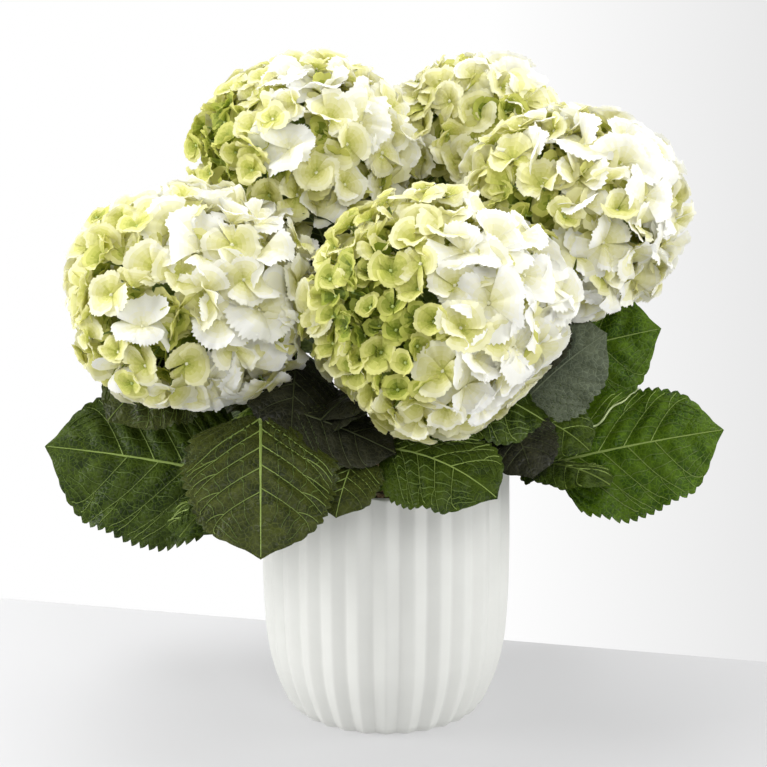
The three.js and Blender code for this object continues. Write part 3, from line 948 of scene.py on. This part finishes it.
class Surface:
    # one leaf blade: where(t, v) gives the point at t along the midrib and v across, -1 to 1
    def __init__(self, base, spec, rng):
        self.spec, self.phase = spec, rng.uniform(0, 2 * math.pi, 6)
        self.steps = 96
        self.teeth = round(spec["length"] * leaf["teethPerLength"])
        self.places, self.sides, self.normals = [], [], []
        place = base.copy()
        for i in range(self.steps + 1):
            along = self.along(i / self.steps)
            side = turned(unit(np.cross(along, up)), along, spec["roll"])
            self.places.append(place.copy())
            self.sides.append(side)
            self.normals.append(np.cross(side, along))
            place += self.along((i + 0.5) / self.steps) * spec["length"] / self.steps
        self.places, self.sides, self.normals = map(np.array, (self.places, self.sides, self.normals))

    def along(self, share):
        droop = self.spec["sag"] * (0.5 + 0.5 / leaf["intervals"] - share)
        return bearing(self.spec["heading"], self.spec["slope"] + droop)

    def at(self, table, t):
        k = np.clip(t, 0, 1) * self.steps
        low = np.minimum(k.astype(int), self.steps - 1)
        return table[low] + (table[low + 1] - table[low]) * (k - low)[..., None]

    def sweep(self, v):
        a = np.abs(v)
        return leaf["veinSweep"] * a + leaf["veinHook"] * a ** 4

    def veinNumber(self, t, v):
        # whole numbers fall on the side veins, which leave the midrib and bend towards the tip
        forward = self.sweep(v)
        s = (t - forward) / (1 - 0.7 * forward)
        share = (s - leaf["firstVein"]) / (leaf["lastVein"] - leaf["firstVein"])
        return leaf["veins"] * np.sign(share) * np.abs(share) ** 0.85 - leaf["veinShift"] * (v > 0)

    def veinAt(self, number, v):
        share = ((number + leaf["veinShift"] * (v > 0)) / leaf["veins"]) ** (1 / 0.85)
        s = leaf["firstVein"] + (leaf["lastVein"] - leaf["firstVein"]) * share
        forward = self.sweep(v)
        return s * (1 - 0.7 * forward) + forward

    def where(self, t, v, raised=0.0):
        t, v = np.broadcast_arrays(np.asarray(t, float), np.asarray(v, float))
        size = self.spec["length"] / leaf["fullLength"]
        half = self.spec["length"] * leaf["widthShare"] / 2 * bladeOutline(t)
        full = leaf["baseFull"] * np.exp(-((t - 0.09) / 0.09) ** 2)
        full = full + leaf["tipFull"] * np.exp(-((t - 0.82) / 0.15) ** 2)
        half = half * (1 + full - leaf["dripTip"] * np.exp(-((1 - t) / 0.07) ** 2))
        saw = (t * self.teeth) % 1.0
        saw = np.where(saw < 0.74, (saw / 0.74) ** 0.62, (1 - saw) / 0.26) - 0.6
        width = half * (1 + leaf["toothLength"] * saw * np.abs(v) ** 9)
        fold = math.radians(leaf["fold"])
        number = self.veinNumber(t, v)
        inward = np.clip(1.02 - np.abs(v), 0, 1) ** 0.5 * np.clip(np.abs(v) * 6, 0, 1)
        inward = inward * np.clip((1 - t) * 4, 0, 1)
        swell = np.abs(np.sin(math.pi * number)) ** 1.6 * inward
        cells = np.abs(np.sin(v * 15 + self.phase[4] + 0.8 * np.sin(number * 5))) * swell
        rise = width * np.abs(v) * math.sin(fold) - leaf["arch"] * half * v ** 2
        rise = rise + size * (leaf["pucker"] * (swell - 0.3) + leaf["blister"] * cells)
        wave = np.sin(t * 15 + self.phase[0] + np.sign(v))
        wave = wave + 0.6 * np.sin(t * 27 + self.phase[1] * np.sign(v))
        rise = rise + leaf["ripple"] * half * v ** 2 * wave
        fine = np.sin(t * 61 + self.phase[2]) * np.sin(v * 19 + self.phase[3])
        rise = rise + 0.25 * size * fine * inward
        aside = self.at(self.sides, t) * (width * v * math.cos(fold))[..., None]
        return self.at(self.places, t) + aside + self.at(self.normals, t) * (rise + raised)[..., None]


def addBlade(pile, surface):
    t = np.linspace(0, 1, surface.teeth * leaf["rowsPerTooth"] + 1)
    columns = 2 * round(surface.spec["length"] * leaf["columnsPerLength"]) + 1
    turn = math.pi / 2 * 0.93    # the columns lie closer towards the edges
    v = np.sin(np.linspace(-turn, turn, columns)) / math.sin(turn)
    tt, vv = np.meshgrid(t, v, indexing="ij")
    thin = leaf["thickness"] * (1 - np.abs(vv) ** 6)
    faces = gridFaces(len(t), len(v))
    pile.add(surface.where(tt, vv), faces, surface.spec["tint"])
    pile.add(surface.where(tt, vv, -thin), faces[:, ::-1], len(greens))


def addVein(pile, surface, t, v, width, raised, paint):
    # a low three-point ridge that follows the blade
    t, v = np.asarray(t, float), np.asarray(v, float)
    line = surface.where(t, v, raised)
    ahead = unit(np.gradient(line, axis=0))
    normal = surface.at(surface.normals, t)
    aside = unit(np.cross(ahead, normal))
    sink = -leaf["veinRaised"] if raised > 0 else 0.12
    lift = 0.30 if raised > 0 else -0.30
    half = np.asarray(width)[:, None] / 2
    ridge = line + normal * lift * (half + 0.2)
    low = line + normal * sink
    strip = np.stack([low - aside * half, ridge, low + aside * half], axis=1)
    faces = gridFaces(len(t), 3)
    pile.add(strip, faces if raised > 0 else faces[:, ::-1], paint)


def addVeins(pile, surface):
    size = surface.spec["length"] / leaf["fullLength"]
    topPaint = veinTints[surface.spec["tint"]]
    top = (leaf["veinRaised"], topPaint, 1.0, 28)
    under = (-leaf["thickness"] - 0.1, 2, leaf["underBold"], 13)
    for raised, paint, bold, points in (top, under):
        t = np.linspace(0, 0.985, 2 * points)
        width = np.linspace(*leaf["midribWidth"], len(t)) * size * bold
        addVein(pile, surface, t, 0 * t, width, raised, paint)
        for number in range(leaf["veins"]):
            for hand in (-1, 1):
                v = np.linspace(0.004, 0.92, points) * hand
                t = surface.veinAt(number, v)
                keep = t < 0.97
                t, v = t[keep], v[keep]
                if len(t) > 3:
                    width = np.linspace(*leaf["veinWidth"], len(t)) * size * bold * (1 - 0.05 * number)
                    above = raised * (1 if number else leaf["lowestRaised"])
                    addVein(pile, surface, t, v, width, above, paint)
                if raised > 0 and surface.spec["length"] > leaf["plainBelow"]:
                    addBranch(pile, surface, number, hand, size, topPaint)
                    if topPaint == 0:
                        addCrossVeins(pile, surface, number, hand, size)


def addBranch(pile, surface, number, hand, size, paint):
    # a fork that leaves a side vein on its outer side and runs to the edge
    share = np.linspace(0, 1, 9)
    v = leaf["forkAt"] + (0.93 - leaf["forkAt"]) * share
    t = surface.veinAt(np.maximum(number - leaf["forkFall"] * share ** 0.8, -0.1), v * hand)
    if number > 0 and t.max() < 0.95:
        width = np.linspace(*leaf["forkWidth"], len(share)) * size
        addVein(pile, surface, t, v * hand, width, leaf["veinRaised"] - 0.05, paint)


def addCrossVeins(pile, surface, number, hand, size):
    # fine rungs between one side vein and the next
    for k, v0 in enumerate((0.26, 0.44, 0.60, 0.75)):
        between = np.linspace(0.02, 0.98, 6)
        v = (v0 + 0.02 * np.sin(between * math.pi * 2 + k * 1.7 + number) - 0.05 * between) * hand
        t = surface.veinAt(number + between, v)
        if t.max() < 0.95:
            width = np.full(6, leaf["rungWidth"] * size)
            addVein(pile, surface, t, v, width, leaf["veinRaised"] - 0.1, 1)


collar = {
    "down": 7.0,             # from the cane's tip back to the pair of leaves under each ball
    "spread": 74.0,          # to either side of the way the cane leans
    # the pair under each ball is nearly black (tint 3): painted shade under the ball
    "leaf": {"stalk": 13, "slope": -30, "length": 80, "roll": 22, "sag": 30, "tint": 3},
    "extra": {"left": [blade(197, 64, -31, 84, -40, 50, 0)],
              "front": [blade(348, 13, -22, 98, 24, 26, 1), blade(222, 13, -20, 70, 12, 30, 3)],
              # the back-left extra leaf fills a gap under the back-left ball, where it stands in for
              # the shade in that gap: painted shade
              "back_left": [blade(253, 8, 34, 62, 0, 40, 0)]},
    "homes": {"front": "front", "right": "right_upper", "back_right": "back_right",
              "back_left": "back_left", "left": "left"},
}


def addLeaf(piles, hub, fromAzimuth, entry, rng):
    blades, veins, stems = piles
    turn = (entry["heading"] - fromAzimuth + 540) % 360 - 180
    way = bearing(fromAzimuth + turn / 2, leaf["stalkSlope"] * (entry["slope"] + entry["sag"] / 2))
    base = hub + way * entry["stalk"]
    surface = Surface(base, entry, rng)
    ahead = surface.along(0.0)
    down = surface.normals[0]
    middle = hub + way * entry["stalk"] * 0.55 - up * 0.6
    end = base + ahead * entry["length"] * 0.1 - down * 1.2
    path = throughPoints([hub - way * 2, middle, base - down * 0.9, end], 8)
    radii = np.linspace(leaf["stalkRadius"] + 0.3, leaf["stalkRadius"] * 0.6, len(path))
    tube(stems, path, radii, shoot["sides"])
    addBlade(blades, surface)
    addVeins(veins, surface)
    if "rolledEdge" in entry:
        # a pale wavy roll that crosses from near the midrib to the edge
        t = np.linspace(*entry["rolledEdge"], 40)
        v = -0.2 - 0.8 * np.linspace(0, 1, 40) ** 1.6 + 0.03 * np.sin(t * 45)
        radii = leaf["rolledWidth"] * np.sin(np.linspace(0.15, 0.93, 40) * math.pi) ** 0.6
        tube(veins, surface.where(t, v, 1.6), radii, 7, 5)


def addCollar(piles, order, spec):
    rng = np.random.default_rng(90 + order)
    _, _, joint, axis = caneRoute(order, spec)
    azimuth = math.degrees(math.atan2(axis[1], axis[0]))
    pair = [dict(collar["leaf"], heading=azimuth + hand * collar["spread"],
                 roll=-hand * collar["leaf"]["roll"]) for hand in (-1, 1)]
    for entry in pair + collar["extra"].get(spec["name"], []):
        addLeaf(piles, joint - axis * collar["down"], azimuth, entry, rng)


def makeShoot(spec, paints, veinPaints, stemMaterial):
    rng = np.random.default_rng(int(spec["azimuth"]))
    footHeight = shoot[spec["foot"]]
    centre, radius = crownAt(footHeight)
    outward = bearing(spec["azimuth"])
    foot = centre + outward * (radius + shoot["footGap"])
    hub = outward * spec["reach"]
    hub[2] = footHeight + spec["rise"]
    bend = foot + outward * (spec["reach"] - radius) / 2
    piles = Pile(), Pile(), Pile()
    radii = np.linspace(shoot["footRadius"], shoot["tipRadius"], 20)
    tube(piles[2], bezier(foot, bend, hub, 20), radii, shoot["sides"])
    for entry in spec["leaves"]:
        addLeaf(piles, hub, spec["azimuth"], entry, rng)
    for order, above in enumerate(blooms):
        if collar["homes"][above["name"]] == spec["name"]:
            addCollar(piles, order, above)
    kinds = (("blades_", paints), ("veins_", veinPaints), ("stalks_", [stemMaterial]))
    for pile, (kind, materials) in zip(piles, kinds):
        settle(pile.mesh(kind + spec["name"], materials), "foliage", "leaves_" + spec["name"])


def leafMaterials():
    tops = []
    for k, (dark, light) in enumerate(greens):
        material, tree, shader = newMaterial("leaf_green_%d" % k, 0.36, 0.11)
        cells = network(tree, leaf["crossNet"])
        paint = addNode(tree, "Mix")
        paint.data_type = "RGBA"
        fill(tree, paint, {"Factor": blendColours(tree, cells, (1, 1, 1), (0, 0, 0), 0.015, 0.06),
                           "A": blendColours(tree, grain(tree, 90.0, 6.0), dark, light, 0.38, 0.62),
                           "B": (*(1.35 * tone for tone in light), 1)})
        fill(tree, shader, {"Base Color": paint.outputs["Result"]})
        addBump(tree, shader, cells, 0.6, 0.0014)
        tops.append(material)
    relief = (380.0, 0.3, 0.0006)
    under, *veins = [even(name, *paint, 0.25, relief) for name, paint in plainPaints.items()]
    return tops + [under], veins


def makeLeaves(stemMaterial):
    paints, veinPaints = leafMaterials()
    for spec in shoots:
        makeShoot(spec, paints, veinPaints, stemMaterial)
    print("leaves:", sum(len(spec["leaves"]) for spec in shoots), "on", len(shoots), "shoots")


studio = {
    "eye": (-1.67, -1715.9, 716.3),
    "pitch": 16.0,           # degrees below level
    "lens": 126.35,
    "tableBack": [(-2600, 725.0), (2600, -470.0)],   # the far edge of the table top
    "tableDepth": 2500.0,
    "tableColour": (0.28, 0.28, 0.285),
    # the table gives off light of its own, more at the left than at the right: painted light that
    # softens its shadows and darkens it towards the right
    "tablePaintedLight": {"From Min": -0.35, "From Max": 0.40, "To Min": 0.42, "To Max": 0.26},
    "roomLight": 0.73,
    "wallFade": {"From Min": 0.04, "From Max": 0.15, "To Min": 1.0, "To Max": 0.80},
    "aim": (0, 0, 260.0),    # of the softboxes, each with its place, size and power
    "softboxes": {"left_softbox": ((-1500, -250, 650), 900, 20),
                  "right_softbox": ((1500, -200, 650), 800, 13),
                  "top_softbox": ((-100, 300, 1900), 1000, 22),
                  "front_softbox": ((900, -3600, 2600), 1400, 56)},
}


def makeStudio():
    camera = addObject("camera", bpy.data.cameras.new("camera"))
    camera.location = [value * mm for value in studio["eye"]]
    camera.rotation_euler = (math.radians(90 - studio["pitch"]), 0, 0)
    camera.data.lens = studio["lens"]
    camera.data.sensor_width = 36.0
    camera.data.clip_end = 50
    bpy.context.scene.camera = camera

    (x0, y0), (x1, y1) = studio["tableBack"]
    front = -studio["tableDepth"]
    flatSheet("table", [(x0, front, 0), (x1, front, 0), (x1, y1, 0), (x0, y0, 0)])

    # a white studio, softer as a light than it is seen, and a little greyer towards the right where it
    # is seen: painted shade on the backdrop
    world = bpy.data.worlds.new("studio")
    world.use_nodes = True
    tree = world.node_tree
    level = addNode(tree, "MapRange", Value=addNode(tree, "LightPath").outputs["Is Camera Ray"])
    fade = alongX(tree, "Generated", studio["wallFade"])
    fill(tree, level, {"To Min": studio["roomLight"], "To Max": fade})
    fill(tree, tree.nodes["Background"], {"Color": (1, 1, 1, 1), "Strength": level.outputs["Result"]})
    bpy.context.scene.world = world
    for name, (place, size, power) in studio["softboxes"].items():
        addLight(name, place, size, power)
    bpy.context.scene.view_settings.view_transform = "Standard"
    print("studio: done")


def flatSheet(name, corners):
    mesh = bpy.data.meshes.new(name)
    mesh.from_pydata([[c * mm for c in corner] for corner in corners], [], [(0, 1, 2, 3)])
    material, tree, shader = newMaterial(name, 0.5)
    # the table's own light, more at the left: painted light
    fill(tree, shader, {"Base Color": (*studio["tableColour"], 1), "Emission Color": (1, 1, 1, 1),
                        "Emission Strength": alongX(tree, "Object", studio["tablePaintedLight"])})
    mesh.materials.append(material)
    return addObject(name, mesh)


def addLight(name, place, size, power):
    lamp = bpy.data.lights.new(name, "AREA")
    lamp.size = size * mm
    lamp.energy = power
    light = addObject(name, lamp)
    light.location = [value * mm for value in place]
    x, y, z = np.array(studio["aim"]) - np.array(place, float)
    tilt = math.pi / 2 + math.atan2(z, math.hypot(x, y))
    light.rotation_euler = (tilt, 0, math.atan2(y, x) - math.pi / 2)


makeStudio()
makePlanter()
makeMix()
makeCrown()
greenCane = mottled("green_cane", **cane["wood"])
makeCanes(greenCane)
makeBlooms()
makeLeaves(greenCane)

counts = {piece.name: sum(len(polygon.vertices) - 2 for polygon in piece.data.polygons)
          for piece in bpy.data.objects if piece.type == "MESH"}
print("most triangles:", max(counts.items(), key=lambda item: item[1]), "all:", sum(counts.values()))
